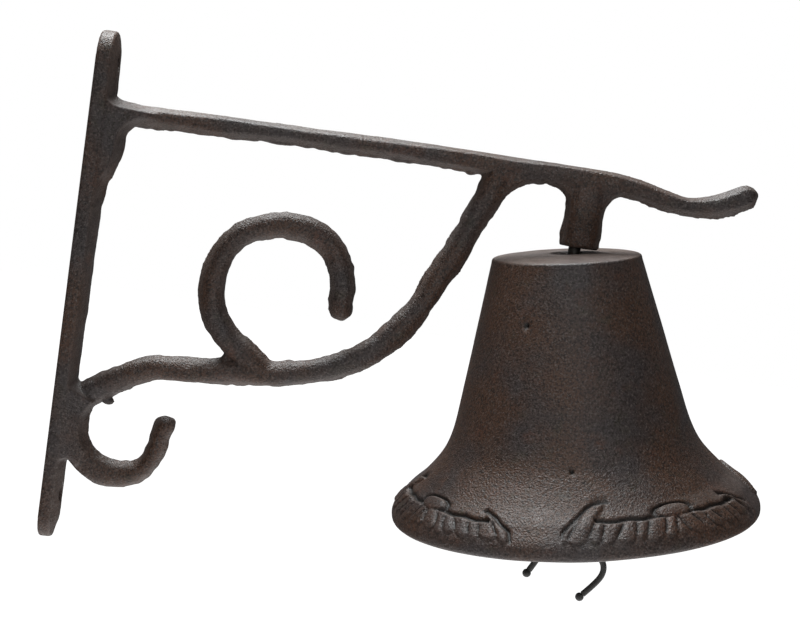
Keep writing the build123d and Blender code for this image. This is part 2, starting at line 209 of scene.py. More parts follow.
def flat_section(width, thin, wave):
    """The arm's section: a flat front and back, and sides that lean out to the parting plane.

    Like round_section, it gives (y, across) points for a width, a share of the full depth
    and a waver from -1 to 1.
    """
    h, depth = width / 2, BAR_D * thin
    flank = depth * 0.86
    k = min(1.0, width / 6) * (1 + 0.3 * wave)
    lean_difference = ARM_TOP_LEAN - ARM_UNDER_LEAN
    crest = 0.22 * lean_difference + 0.7 * wave - lean_difference * k * 0.3
    top, under = h - ARM_TOP_LEAN * k, -h + ARM_UNDER_LEAN * k
    front = [(-flank, top), (-depth, crest), (-flank, under)]
    back = [(flank, under), (depth, crest), (flank, top)]
    return [(0, h), *front, (0, -h), *back]


def round_section(width, thin, wave):
    """A section between an oval and a box, with its front and back shifted sideways."""
    section = []
    for t in np.radians(np.arange(0, 360, 22.5)):
        across, out = math.cos(t), math.sin(t)
        n = width / 2 * math.copysign(abs(across) ** 1.05, across) + 1.6 * wave * abs(out)
        section.append((-ROUND_BAR_D * thin * out, n))
    return section


def inset(outline, distance):
    """Moves a counter-clockwise outline's points inwards."""
    p = np.asarray(outline, float)
    edge = np.roll(p, -1, 0) - p
    edge /= np.linalg.norm(edge, axis=1)[:, None] + 1e-9
    normal = np.stack([-edge[:, 1], edge[:, 0]], 1)
    corner = normal + np.roll(normal, 1, 0)
    corner /= np.linalg.norm(corner, axis=1)[:, None] + 1e-9
    return p + corner * distance


def ccw(outline):
    """The outline's points in counter-clockwise order."""
    p = np.asarray(outline, float)
    q = np.roll(p, -1, 0)
    area = (p[:, 0] * q[:, 1] - q[:, 0] * p[:, 1]).sum()
    return p if area > 0 else p[::-1]


def web(outline, depth, lean):
    """A filled region of the casting, leaning in from the parting plane like the bars."""
    full = ccw(outline)
    thin = inset(full, lean)
    rings = [[(x, y, z) for x, z in ring] for y, ring in ((-depth, thin), (0, full), (depth, thin))]
    return loft(rings)


def three_point_arc(a, b, c, count=10):
    """Points from a to c on the circle through a, b and c."""
    a, b, c = (np.asarray(q, float) for q in (a, b, c))
    m = np.array([2 * (b - a), 2 * (c - a)])
    centre = np.linalg.solve(m, [b @ b - a @ a, c @ c - a @ a])
    angles = [math.atan2(*(q - centre)[::-1]) for q in (a, b, c)]
    for i in (1, 2):
        while angles[i] - angles[i - 1] > math.pi:
            angles[i] -= 2 * math.pi
        while angles[i] - angles[i - 1] < -math.pi:
            angles[i] += 2 * math.pi
    radius = np.linalg.norm(a - centre)
    t = np.linspace(angles[0], angles[2], count)
    return np.stack([centre[0] + radius * np.cos(t), centre[1] + radius * np.sin(t)], 1)


def wall_plate():
    """The round-ended wall plate, crowned towards its middle at the front."""
    r = PLATE_W / 2
    a = np.linspace(0, math.pi, 25)
    upper = np.stack([r * np.cos(a), PLATE_TOP - r + r * np.sin(a)], 1)
    lower = np.stack([-r * np.cos(a), PLATE_BOTTOM + r - r * np.sin(a)], 1)
    full = ccw(np.concatenate([upper, lower]))
    rings = []
    for share, pull in PLATE_RINGS:
        rings.append([(share * (PLATE_T + PLATE_TAPER * z), y, z) for y, z in inset(full, pull)])
    return loft(rings)


# Share of the plate's thickness, and how far the outline is pulled in there.
PLATE_RINGS = [(0, 0.4), (0.06, 0), (0.82, 0), (0.86, 0.5), (1.15, 8.0)]
ARM = [  # x, z, width, as for the other bars
    (4.5, 68.4, 9.2),
    (20, 68.7, 9.2),
    (40, 69.2, 8.8),
    (60, 69.8, 8.3),
    (90, 70.3, 8.3),
    (130, 70.8, 8.7),
    (165, 70.7, 8.9),
    (200, 70.5, 9.0),
    (211, 70.2, 9.0),
    (220, 69.1, 8.9),
    (230, 67.0, 8.4),
    (240, 65.5, 8.0),
    (249, 66.6, 9.2),
    (256, 69.0, 10.2),
    (262.9, 72.6, 10.4),
]
BRACE = [
    (163.5, 66.0, 12.5),
    (160.6, 56.5, 11.2),
    (158.1, 51.0, 10.6),
    (155.2, 43.6, 10.0),
    (152.4, 36.2, 10.6),
    (149.1, 29.0, 11.1),
    (145.4, 21.6, 10.5),
    (142.4, 14.4, 9.8),
    (139.0, 7.2, 9.9),
    (134.7, 0.2, 11.0),
    (129.6, -5.9, 10.8),
    (123.8, -11.6, 10.2),
    (117.4, -16.1, 10.4),
    (110.4, -19.6, 10.2),
    (102.7, -22.5, 9.6),
    (95.2, -24.4, 9.8),
    (87.3, -25.9, 10.4),
    (79.4, -26.8, 10.5),
    (71.4, -27.8, 10.4),
    (63.5, -28.7, 10.3),
    (55.4, -29.3, 10.0),
    (47.6, -29.9, 9.8),
    (39.4, -30.8, 9.8),
    (32.0, -33.5, 10.3),
    (24.6, -37.6, 10.6),
    (15.0, -43.6, 10.4),
    (5.0, -50.0, 10.0),
]
SCROLL_CENTRE = (82.0, 7.5)
SCROLL = [  # angle, radius, width
    (250, 28.4, 10.6),
    (235, 27.5, 10.2),
    (220, 26.9, 10.8),
    (205, 26.8, 10.4),
    (190, 26.3, 10.7),
    (175, 26.0, 10.6),
    (160, 25.9, 9.7),
    (145, 26.4, 9.2),
    (130, 26.5, 9.4),
    (115, 26.2, 9.6),
    (100, 26.3, 9.5),
    (85, 26.9, 10.3),
    (70, 27.7, 10.4),
    (55, 28.1, 10.4),
    (40, 28.2, 10.0),
    (25, 27.5, 10.1),
    (10, 26.9, 9.7),
    (-5, 26.6, 9.3),
]
HOOK_CENTRE = (26.7, -58.5)
HOOK = [  # angle, radius, width
    (-190, 18.3, 10.6),
    (-170, 18.5, 11.4),
    (-150, 18.6, 11.4),
    (-135, 18.6, 11.6),
    (-120, 18.6, 11.6),
    (-105, 18.6, 11.8),
    (-90, 18.6, 11.2),
    (-75, 18.8, 10.2),
    (-60, 18.8, 9.0),
    (-45, 18.2, 8.3),
    (-30, 17.4, 7.9),
    (-15, 17.0, 8.1),
    (0, 17.0, 8.2),
]


def around(centre, table):
    """Turns (angle, radius, width) rows about a centre into (x, z, width) points."""
    out = []
    for angle, radius, width in table:
        a = math.radians(angle)
        out.append((centre[0] + radius * math.cos(a), centre[1] + radius * math.sin(a), width))
    return out


def bars():
    scroll = [(82.0, -26.2, 10.0), *around(SCROLL_CENTRE, SCROLL), (108.8, 4.2, 9.3)]
    hook = [*around(HOOK_CENTRE, HOOK), (44.9, -54.6, 8.7)]
    return [
        cast_bar(ARM, flat_section, tip=True),
        cast_bar(BRACE, round_section),
        cast_bar(scroll, round_section, tip=True),
        cast_bar(hook, round_section, tip=True),
    ]


# Half the depth of the webs at the wall, by distance from the wall.
GUSSET_DEPTHS = [6, 12, 24, 30], [10.4, 8.6, 5.2, 4.1]
CORNER_DEPTHS = [6, 12, 18], [10.2, 6.6, 4.4]
WEB_D, SCROLL_WEB_D = 4.2, 2.4  # half the depth of the webs at the post and the scroll


def webs():
    """The filled corners of the casting, as outlines in x and z."""
    under = ARM_TOP - ARM_H
    buried = under + 4.6
    scroll_root = [(72, -25), (72.6, -14.0), (76.2, -17.2), (80.3, -19.6), (85.8, -21.2)]
    scroll_root += [(93.0, -21.6), (93, -25)]
    scroll_heel = [(60, -27), (59.5, -23.8), (63.4, -22.8), (65.4, -20.6), (66.6, -17.2)]
    scroll_heel += [(72, -22), (72, -27)]
    return [
        spread(web(arm_gusset(), 1.0, 2.6), GUSSET_DEPTHS),
        spread(web(brace_corner(), 1.0, 2.2), CORNER_DEPTHS),
        *post_webs(under, buried),
        web(scroll_root, SCROLL_WEB_D, 1.0),
        web(scroll_heel, SCROLL_WEB_D, 1.0),
    ]


def arm_gusset():
    """Where the arm meets the plate: a small fillet above and a long one below."""
    outline = [(11, 74.0), (30, 72.2), (30, 66.6), (24, 66.0)]
    outline += list(three_point_arc((24, 66.0), (17.0, 64.0), (14.2, 58.8)))[1:]
    outline += [(13.6, 51), (12.2, 45.6), (9.6, 41), (8.4, 33), (7.4, 24)]
    outline += [(3, 24), (3, 79.4), (7.0, 79.4)]
    return outline + list(three_point_arc((7.0, 79.4), (8.0, 75.8), (11, 74.0), 6))[1:-1]


def brace_corner():
    """Where the brace and the hook meet the plate."""
    outline = [(3, -38), (8, -41), (18, -48)]
    outline += list(three_point_arc((18, -48), (13.4, -58), (17.2, -68.3)))[1:]
    return outline + [(11.6, -77.6), (9.6, -75.6), (8.4, -74.2), (7.6, -73.8), (3, -74.6)]


def post_webs(under, buried):
    """The arches from the post to the arm, and the shoulder between the arm and the brace.

    under is the height of the arm's underside, and buried a height inside the arm.
    """
    left, right = POST_X - POST_W / 2, POST_X + POST_W / 2
    arch = [(left - 8, buried), (left - 8, under + 0.2)]
    arch += list(
        three_point_arc((left - 7, under), (left - 1.9, under - 1.9), (left + 0.2, under - 7))
    )
    arch += [(left + 3, under - 8), (left + 3, buried)]
    outside = [(right + 12, buried), (right - 3, buried), (right - 3, under - 8)]
    outside += list(
        three_point_arc((right, under - 7), (right + 2.4, under - 2.2), (right + 12, under - 0.2))
    )
    shoulder = [(182, buried), (160, buried), (158, 57)]
    shoulder += list(three_point_arc((165.8, 56), (171.4, 62.6), (182, under)))
    return [web(arch, WEB_D, 1.4), web(outside, WEB_D, 1.6), web(shoulder, WEB_D, 1.8)]


def spread(shell, depths):
    """Gives a web a half depth that changes with the distance from the wall."""
    verts, faces = shell
    verts[:, 1] *= np.interp(verts[:, 0], *depths)
    return verts, faces


def post():
    """The post under the arm, oval in plan and thinner towards the arm."""
    half_w = POST_W / 2
    narrow = half_w - 1.9
    half = [(half_w, 0), (half_w - 0.9, 2.8), (narrow, 4.6), (narrow - 2.6, 6.0), (0, POST_D)]
    full = half + [(-x, y) for x, y in half[-2::-1]]
    full += [(x, -y) for x, y in full[-2:0:-1]]
    full = ccw(full)
    foot = [(POST_END, 0.7, 1), (POST_END + 0.3, 0.2, 1), (POST_END + 0.9, 0, 1)]
    head = [(ARM_TOP - 14, 0, 1), (ARM_TOP - 8, 0, 0.86), (ARM_TOP - 4, 0.4, 0.66)]
    rings = []
    for z, pull, thin in foot + head:
        rings.append([(POST_X + x, y * thin, z) for x, y in inset(full, pull)])
    return loft(rings)


def lump(centre, size):
    """A small blob of flash left by the mould."""
    rings = []
    for a in np.radians(np.linspace(-80, 80, 7)):
        x = centre[0] + size[0] * math.sin(a)
        ring = []
        for b in np.linspace(0, 2 * math.pi, 10, endpoint=False):
            y = centre[1] + size[1] * math.cos(a) * math.cos(b)
            ring.append((x, y, centre[2] + size[2] * math.cos(a) * math.sin(b)))
        rings.append(ring)
    return loft(rings)


def bore_cutter(x0, x1, radius, z):
    """A round cutter along X."""
    angles = np.linspace(0, 2 * math.pi, 32, endpoint=False)
    circle = [(radius * math.cos(t), z + radius * math.sin(t)) for t in angles]
    return loft([[(x, *place) for place in circle] for x in (x0, x1)])


def cut(obj, cutter):
    tool = new_object("cutter", *cutter)
    modifier = obj.modifiers.new("bore", "BOOLEAN")
    modifier.object = tool
    modifier.solver = "EXACT"
    apply_modifiers(obj)
    bpy.data.objects.remove(tool)


def apply_modifiers(obj):
    """Makes what the modifiers give the object's own mesh."""
    bpy.context.view_layer.update()
    mesh = bpy.data.meshes.new_from_object(obj.evaluated_get(bpy.context.evaluated_depsgraph_get()))
    obj.modifiers.clear()
    old = obj.data
    obj.data = mesh
    bpy.data.meshes.remove(old)


def mesh_arrays(mesh):
    """The mesh's corners and their normals."""
    n = len(mesh.vertices)
    co, no = np.empty(n * 3), np.empty(n * 3)
    mesh.vertices.foreach_get("co", co)
    mesh.vertices.foreach_get("normal", no)
    return co.reshape(n, 3), no.reshape(n, 3)


def store(mesh, co):
    mesh.vertices.foreach_set("co", np.ascontiguousarray(co).ravel())
    mesh.update()


BRACKET_VOXEL = 0.70  # mm: the bracket's parts are fused on a grid of this size
BRACKET_SMOOTHING = 2
FLASH = [  # centre and half size of each small lump of flash, and of the hook's slanted tip
    ((20.6, 0.4, -47.6), (2.6, 1.6, 1.5)),
    ((152.6, 0.6, 66.6), (2.4, 1.2, 1.4)),
    ((46.6, 0, -52.6), (2.6, 3.0, 2.0)),
]


def cast_bracket(material):
    """The bracket's parts fused into one casting, then roughened."""
    plate = new_object("plate", *wall_plate())
    for z in (SCREW_Z, -SCREW_Z):
        cut(plate, bore_cutter(-3, PLATE_T + 3, SCREW_R, z))
        cut(plate, bore_cutter(PLATE_T - SCREW_MOUTH_DEPTH, PLATE_T + 3, SCREW_MOUTH_R, z))
    shells = [*bars(), post(), *webs(), *(lump(*flash) for flash in FLASH)]
    rest = new_object("casting", *joined(shells))
    bpy.ops.object.select_all(action="DESELECT")
    plate.select_set(True)
    rest.select_set(True)
    bpy.context.view_layer.objects.active = rest
    bpy.ops.object.join()
    rest.name = rest.data.name = "bracket"
    remesh = rest.modifiers.new("skin", "REMESH")
    remesh.mode = "VOXEL"
    remesh.voxel_size = BRACKET_VOXEL * MM
    soften = rest.modifiers.new("soften", "SMOOTH")
    soften.factor = 0.5
    soften.iterations = BRACKET_SMOOTHING
    apply_modifiers(rest)
    roughen_bracket(rest.data)
    rest.data.materials.clear()
    rest.data.materials.append(material)
    for polygon in rest.data.polygons:
        polygon.use_smooth = True
    return rest


def roughen_bracket(mesh):
    """Uneven sides, sand grain and the thin ragged fin along the parting plane."""
    co, normal = mesh_arrays(mesh)
    p = co / MM
    lift = 0.22 * smooth_noise(p, 11, 1) + 0.16 * smooth_noise(p, 4.3, 2)
    lift = lift + 0.09 * smooth_noise(p, 1.7, 3)
    from_parting = (p[:, 1] - 0.5 * smooth_noise(p, 18, 6)) / 0.75
    fin = np.exp(-(from_parting**2)) * (np.abs(normal[:, 1]) < 0.75)
    ragged = 0.28 + 0.30 * smooth_noise(p, 7, 4) + 0.36 * smooth_noise(p, 2.4, 5)
    clear_of_wall = step(p[:, 0], PLATE_T + 0.5, PLATE_T + 3)
    arm_top = (p[:, 2] > 64) * step(normal[:, 2], 0.1, 0.6)
    lift *= 1 - 0.7 * arm_top
    lift += fin * np.clip(ragged, 0, 1) * clear_of_wall * (1 - 0.85 * arm_top)
    flat_back = (p[:, 0] < 0.8) & (normal[:, 0] < -0.7)
    lift = np.where(flat_back, 0, lift)
    end_room = np.minimum(CAD_BOX[1][2] / MM - p[:, 2], p[:, 2] - PLATE_BOTTOM)
    lift = np.where(lift > 0, lift * np.clip(end_room / 0.6, 0, 1), lift)
    moved = p + normal * lift[:, None]
    moved[:, 0] = np.maximum(moved[:, 0], 0.02)
    store(mesh, moved * MM)


# ---- bell -------------------------------------------------------------------------------
BELL_SEGMENTS = 670
DEPTH_ZERO = 13.0  # depths are taken down the bell from this height above the pivot
GARLAND_TOP, GARLAND_BOTTOM = 84.5, 100.5
PITS = [(-5.8, 76.1, 0.8), (-32.5, 22.5, 1.2)]  # degrees round the bell, depth down, radius
PIT_DEPTH = 1.4
CREASE = "crease"  # mesh attribute: 1 where the relief is cut in, and where the material paints shade into the creases and pits and a dark line round the crown's rim
GARLAND_GROUPS = 4
GARLAND_AT = math.radians(29)  # first garland's middle, from the side that faces -Y towards +X
RELIEF, GROOVE = 1.0, 1.2  # height of the leaves, and depth of the creases round them


def hermite(points, first, last, pitch):
    """A smooth curve through points with given end directions, as closely spaced points."""
    p = np.asarray(points, float)
    chord = run_length(p)
    slope = np.empty_like(p)
    slope[0] = np.asarray(first) / np.linalg.norm(first)
    slope[-1] = np.asarray(last) / np.linalg.norm(last)
    for i in range(1, len(p) - 1):
        gap, next_gap = chord[i] - chord[i - 1], chord[i + 1] - chord[i]
        before, after = (p[i] - p[i - 1]) / gap, (p[i + 1] - p[i]) / next_gap
        slope[i] = (before * next_gap + after * gap) / (chord[i + 1] - chord[i - 1])
    out = []
    for i in range(len(p) - 1):
        span = chord[i + 1] - chord[i]
        count = max(2, int(round(span / pitch)))
        for t in np.linspace(0, 1, count, endpoint=False):
            a, b = 2 * t**3 - 3 * t**2 + 1, t**3 - 2 * t**2 + t
            c, d = -2 * t**3 + 3 * t**2, t**3 - t**2
            out.append(a * p[i] + b * span * slope[i] + c * p[i + 1] + d * span * slope[i + 1])
    out.append(p[-1])
    return np.array(out)


def line_points(a, b, pitch):
    """Evenly spaced points from a towards b, without b."""
    count = max(2, int(round(np.linalg.norm(np.subtract(b, a)) / pitch)))
    return np.linspace(a, b, count, endpoint=False)


def near_pit(height):
    """Which rows of the profile run through or beside a casting pit."""
    return np.any([np.abs(DEPTH_ZERO - height - d) < 1.8 * r for _, d, r in PITS], axis=0)


def every(count, rows):
    """True for each count-th row, from the first."""
    return np.arange(len(rows)) % count == 0


def bell_profile():
    """(radius, height above the pivot) round the bell's wall, from the bolt hole outwards.

    Returns the points and the index where the outside ends at the lip. Rows crowd together
    where the garland and the small casting pits are.
    """
    wall = line_points((30.25, 12.0), WAIST_OUT, 0.5)
    skirt = hermite([WAIST_OUT, *SKIRT, (MOUTH_R, -89.0)], (0.255, -0.967), (0, -1), 0.48)
    garlanded = skirt[:, 1] <= DEPTH_ZERO - 1.5 - GARLAND_TOP
    outside = [
        hermite([(BELL_HOLE_R, 15.0), (18, 14.6), (28.6, 13.95)], (1, -0.01), (1, -0.1), 2.4),
        three_point_arc((28.9, 13.9), (29.75, 13.55), (30.15, 12.7), 5),
        wall[near_pit(wall[:, 1]) | every(6, wall)],
        skirt[garlanded | near_pit(skirt[:, 1]) | every(4, skirt)],
        three_point_arc((MOUTH_R, -89.9), (MOUTH_R - 0.7, -91.6), (MOUTH_R - 2.5, -92.3), 6),
    ]
    inside = [
        three_point_arc((71.2, -92.3), (70.0, -91.8), (69.6, -90.7), 4),
        hermite([(69.2, -90.0), *reversed(LINING), WAIST_IN], (-0.3, 0.95), (-0.255, 0.967), 6.0),
        line_points((41.0, -45.0), (27.4, 6.8), 8),
        three_point_arc((27.2, 7.6), (26.4, 8.9), (24.8, 9.3), 4),
        line_points((23.0, 9.3), (BELL_HOLE_R, 9.3), 6.0),
        np.array([(BELL_HOLE_R, 9.3), (BELL_HOLE_R, 13.1)]),
    ]
    outer = np.concatenate(outside)
    return np.concatenate([outer, *inside]), len(outer)


def band(x, centre, half_width):
    """A bell curve that is 1 at the centre."""
    return np.exp(-(((x - centre) / half_width) ** 2))


# The garland's outline on each side of its boss (-1 and 1): degrees from the boss, and depth
# below DEPTH_ZERO. The outer edge runs from the spike's tip round the end leaf.
OUTER = {
    -1: (
        [22.0, 23.6, 27.9, 30.5, 34.0, 36.2, 37.7, 38.5],
        [86.5, 86.6, 87.1, 88.5, 91.3, 93.3, 95.2, 97.5],
    ),
    1: (
        [23.0, 25.0, 27.5, 30.7, 33.0, 34.8, 35.8, 36.6],
        [90.0, 90.2, 91.0, 92.8, 94.2, 95.6, 97.2, 99.0],
    ),
}
INNER = {
    -1: ([23.0, 23.6, 25.4, 27.9], [86.4, 86.8, 88.7, 91.2]),
    1: ([24.2, 25.0, 26.4, 27.9], [90.0, 90.4, 91.8, 93.2]),
}
LAST = {-1: 38.2, 1: 36.4}  # where the end leaf stops, in degrees from the boss
STEM_END = 27.9  # where the stem meets the end leaf
STEM_DEPTH, LEAF_DEPTH = 92.2, 98.9  # depths of the stem and of the leaves' lower ends
LEAF_W = 5.6
BOSS_DEPTH, BOSS_HALF_H, BOSS_HALF_W = 90.9, 1.95, 6.7  # half the width is in degrees
DEGREE_MM = 1.17  # a degree round the skirt, in mm
FAR = 9  # mm: too far from an edge to count


def garland(angle, depth):
    """The leaf garland at an angle round the bell and a depth below the crown edge.

    Returns its height in mm, and how much of a crease the place is, from 0 to 1.
    """
    period = 2 * math.pi / GARLAND_GROUPS
    offset = np.degrees((angle - GARLAND_AT + period / 2) % period - period / 2)
    sway = 0.3 * np.sin(depth * 0.9 + np.degrees(angle) * 0.7)
    sides = [half_garland(offset, depth, side, sway) for side in (-1, 1)]
    height = np.where(offset < 0, sides[0][0], sides[1][0])
    crease = np.where(offset < 0, sides[0][1], sides[1][1])
    boss_d = (depth - BOSS_DEPTH) / BOSS_HALF_H
    boss_r = np.sqrt((offset / BOSS_HALF_W) ** 2 + np.abs(boss_d) ** 2.6)
    pad = step(1.02 - boss_r, -0.02, 0.30) * (0.85 + 0.25 * band(boss_r, 0.1, 0.45))
    on_boss = pad > 0.15
    around_boss = band((boss_r - 1.12) * 2.1, 0, 0.42) * (depth < 92.4)
    dimple = 0.25 * (1 - step(boss_r, 0.2, 0.7))
    crease = np.where(on_boss, dimple, np.maximum(crease, around_boss))
    height = np.where(on_boss, np.maximum(height, pad * RELIEF), height)
    return height - crease * GROOVE * ~on_boss, crease


def past_edge(a, depth, table):
    """How far below an edge of the garland a point lies, in mm, square to the edge."""
    slope = (np.interp(a + 0.4, *table) - np.interp(a - 0.4, *table)) / (0.8 * DEGREE_MM)
    return (depth - np.interp(a, *table)) / np.sqrt(1 + slope**2)


def half_garland(offset, depth, side, sway):
    """Height and crease of the leaves, stem and spike on one side of the boss."""
    a = np.abs(offset) + sway * 0.5
    s = a * DEGREE_MM
    spike_tip = OUTER[side][0][1]
    below_rim = past_edge(a, depth, OUTER[side])
    stem = STEM_DEPTH + 0.2 * np.sin(s * 0.55) + (0.035 * a if side > 0 else 0)
    below_top = np.where(a > STEM_END, below_rim, depth - stem)
    fold = (s - (depth - 92) * 0.55) / LEAF_W + 0.14 * np.sin(s * 0.43 + side)
    across = 2 * (fold - np.floor(fold)) - 1
    blade = 1 - np.abs(across) ** 3.2
    lower = LEAF_DEPTH - 1.7 * across**2 + 0.5 * np.sin(np.floor(fold) * 2.1)
    leaf = np.minimum(below_top, lower - depth)
    leaf = np.minimum(leaf, (LAST[side] - a) * DEGREE_MM)
    spike = np.minimum(below_rim, -past_edge(a, depth, INNER[side]))
    spike = np.where((a > spike_tip - 1) & (a < 30), spike, -FAR)
    swell = 0.75 + 0.25 * np.sin(np.clip(below_top / 5.5, 0, 1) * math.pi)
    height = step(leaf, -0.05, 0.6) * (0.15 + 0.85 * blade) * swell
    height = np.maximum(height, step(spike, -0.05, 0.5) * 0.9)
    over_stem = np.where((s > 7.8) & (a < STEM_END), np.abs(depth - stem + 0.45), FAR)
    on_rim = (a > spike_tip - 1.2) & (a < LAST[side] + 0.3)
    over_rim = np.where(on_rim, np.abs(below_rim + 0.45), FAR)
    # The cuts along the stem and rim and the gaps between leaves are grooved into the relief and
    # also painted dark as shade through the crease attribute.
    cut_in = band(np.minimum(over_stem, over_rim), 0, 0.55)
    between = step(leaf, 0.2, 1.2) * (1 - step(blade, 0.1, 0.55))
    return height * RELIEF, np.maximum(cut_in, 0.45 * between)


def make_bell(material):
    """The bell's wall turned round its axis, with garlands, pits and an uneven surface."""
    profile, outer_count = bell_profile()
    tangent = np.gradient(profile, axis=0)
    tangent /= np.linalg.norm(tangent, axis=1)[:, None] + 1e-9
    outward = np.stack([-tangent[:, 1], tangent[:, 0]], 1)
    outward[:outer_count] *= np.sign(outward[:outer_count, 0:1] + outward[:outer_count, 1:2])
    rows, columns = BELL_SEGMENTS, len(profile)
    turns = np.linspace(0, 2 * math.pi, rows, endpoint=False)
    a, radius = (grid.ravel() for grid in np.meshgrid(turns, profile[:, 0], indexing="ij"))
    height = np.tile(profile[:, 1], rows)
    outer = np.tile(np.arange(columns) < outer_count, rows)
    flat = np.stack([radius * np.sin(a), -radius * np.cos(a), height], -1)
    lift = 0.20 * smooth_noise(flat, 24, 11) + 0.07 * smooth_noise(flat, 8, 12)
    depth = DEPTH_ZERO - height
    within = outer & (depth > GARLAND_TOP) & (depth < GARLAND_BOTTOM)
    relief, crease = garland(a, depth)
    relief, crease = relief * within, crease * within
    lift = lift * np.where(outer, step(MOUTH_R + 0.2 - radius, 0, 3), 0.8) + relief
    for pit_angle, pit_depth, pit_r in PITS:
        turn = (np.degrees(a) - pit_angle + 180) % 360
        aside = turn * math.pi / 180 * radius - math.pi * radius
        pit = outer * np.exp(-((np.hypot(aside, depth - pit_depth) / pit_r) ** 2))
        lift -= PIT_DEPTH * pit
        # painted shade: the pits are painted dark
        crease = np.maximum(crease, pit)
    crease = np.maximum(crease, 0.45 * outer * band(depth, -0.1, 0.5))  # the crown's dark rim
    r = np.minimum(radius + np.tile(outward[:, 0], rows) * lift, MOUTH_R)
    h = height + np.tile(outward[:, 1], rows) * lift
    local = np.stack([r * np.sin(a), -r * np.cos(a), h], 1)
    verts = hang(local, (BOLT_X, 0, PIVOT_Z), BELL_TILT)
    faces = []
    for i in range(rows):
        here, beside = i * columns, (i + 1) % rows * columns
        for k in range(columns):
            m = (k + 1) % columns
            faces.append((here + k, beside + k, beside + m, here + m))
    bell = new_object("bell_casting", verts, faces, material)
    recalc_normals(bell.data)
    attribute = bell.data.attributes.new(CREASE, "FLOAT", "POINT")
    attribute.data.foreach_set("value", crease.astype(np.float32))
    for polygon in bell.data.polygons:
        polygon.use_smooth = True
    return bell


def hang(local, pivot, tilt):
    """Turns points about the pivot so that what hangs below it swings out along +X."""
    x, y, z = np.asarray(local, float).T
    c, s = math.cos(tilt), math.sin(tilt)
    return np.stack([pivot[0] + x * c - z * s, pivot[1] + y, pivot[2] + x * s + z * c], 1)


def recalc_normals(mesh):
    bm = bmesh.new()
    bm.from_mesh(mesh)
    bmesh.ops.recalc_face_normals(bm, faces=bm.faces)
    bm.to_mesh(mesh)
    bm.free()


# ---- cord -------------------------------------------------------------------------------
CORD_D = 2.6
# The routes of the cord's tails, as in the CAD part, from the knot to the melted end.
TAIL_LEFT = [
    (209.3, -0.8, -63.9),
    (208.4, -2.3, -71.0),
    (207.6, -1.5, -78.6),
    (204.9, 0.0, -85.6),
    (201.7, 0.3, -92.0),
]
TAIL_RIGHT = [
    (211.8, 0.8, -63.8),
    (215.0, 1.9, -70.2),
    (220.3, 1.2, -75.8),
    (226.4, 0.3, -80.6),
    (231.0, 0.0, -83.4),
    (232.4, -0.1, -87.6),
    (230.6, 0.0, -92.6),
    (225.2, 0.1, -98.9),
]


def nurbs(name, points, diameter, material):
    """A round cord: a smooth curve with the route's points as its control points."""
    data = bpy.data.curves.new(name, "CURVE")
    data.dimensions = "3D"
    data.bevel_depth = diameter / 2 * MM
    data.bevel_resolution = 5
    data.resolution_u = 10
    data.use_fill_caps = True
    spline = data.splines.new("NURBS")
    spline.points.add(len(points) - 1)
    for point, place in zip(spline.points, points):
        point.co = (*(c * MM for c in place), 1)
    spline.order_u = 3
    spline.use_endpoint_u = True
    data.materials.append(material)
    obj = bpy.data.objects.new(name, data)
    bpy.context.scene.collection.objects.link(obj)
    return obj


# ---- materials --------------------------------------------------------------------------
class Nodes:
    """A short way to wire up a material's nodes."""

    def __init__(self, name):
        self.material = bpy.data.materials.new(name)
        self.material.use_nodes = True
        self.tree = self.material.node_tree
        self.shader = self.tree.nodes["Principled BSDF"]
        self.place = self.add("ShaderNodeTexCoord").outputs["Object"]

    def add(self, kind, **settings):
        node = self.tree.nodes.new(kind)
        for key, value in settings.items():
            setattr(node, key, value)
        return node

    def link(self, a, b):
        self.tree.links.new(a, b)

    def noise(self, size_mm, detail=2.0, rough=0.5, shift=0.0):
        """Noise from 0 to 1 with lumps about size_mm wide."""
        node = self.add("ShaderNodeTexNoise", noise_dimensions="4D")
        node.inputs["W"].default_value = shift
        node.inputs["Scale"].default_value = 1000 / size_mm
        node.inputs["Detail"].default_value = detail
        node.inputs["Roughness"].default_value = rough
        self.link(self.place, node.inputs["Vector"])
        return node.outputs["Fac"]

    def grey(self, value, low, high, a=0.0, b=1.0):
        """Maps low..high to a..b, and keeps within them."""
        node = self.add("ShaderNodeMapRange")
        for key, number in (("From Min", low), ("From Max", high), ("To Min", a), ("To Max", b)):
            node.inputs[key].default_value = number
        self.link(value, node.inputs["Value"])
        return node.outputs["Result"]

    def mix(self, factor, a, b, blend="MIX"):
        node = self.add("ShaderNodeMix", data_type="RGBA", blend_type=blend)
        for socket, value in ((node.inputs[0], factor), (node.inputs[6], a), (node.inputs[7], b)):
            if isinstance(value, (int, float)):
                socket.default_value = value
            elif isinstance(value, tuple):
                socket.default_value = (*value, 1)
            else:
                self.link(value, socket)
        return node.outputs[2]

    def bump(self, height, strength, distance_mm, normal=None):
        node = self.add("ShaderNodeBump")
        node.inputs["Strength"].default_value = strength
        node.inputs["Distance"].default_value = distance_mm * MM
        self.link(height, node.inputs["Height"])
        if normal:
            self.link(normal, node.inputs["Normal"])
        return node.outputs["Normal"]


BROWN, DARK, SLATE = (0.057, 0.028, 0.017), (0.012, 0.007, 0.005), (0.038, 0.029, 0.028)
RUST, MOSS, PALE = (0.070, 0.029, 0.017), (0.038, 0.031, 0.020), (0.130, 0.104, 0.094)
# The colours on this line and the next are painted light and shade: a highlight painted on convex
# edges, faces painted paler as light by the way they face, and shade painted dark in hollows,
# creases, pits and crevices.
EDGE_HIGHLIGHT, FACE_LIGHT = (0.130, 0.098, 0.084), (0.108, 0.082, 0.071)
HOLLOW_SHADE, CREASE_SHADE, CREVICE_SHADE = (0.014, 0.009, 0.007), (0.007, 0.005, 0.004), (0.006, 0.004, 0.003)
CREVICE_W = 1.5  # mm: how far the ambient-occlusion shade painted into crevices reaches
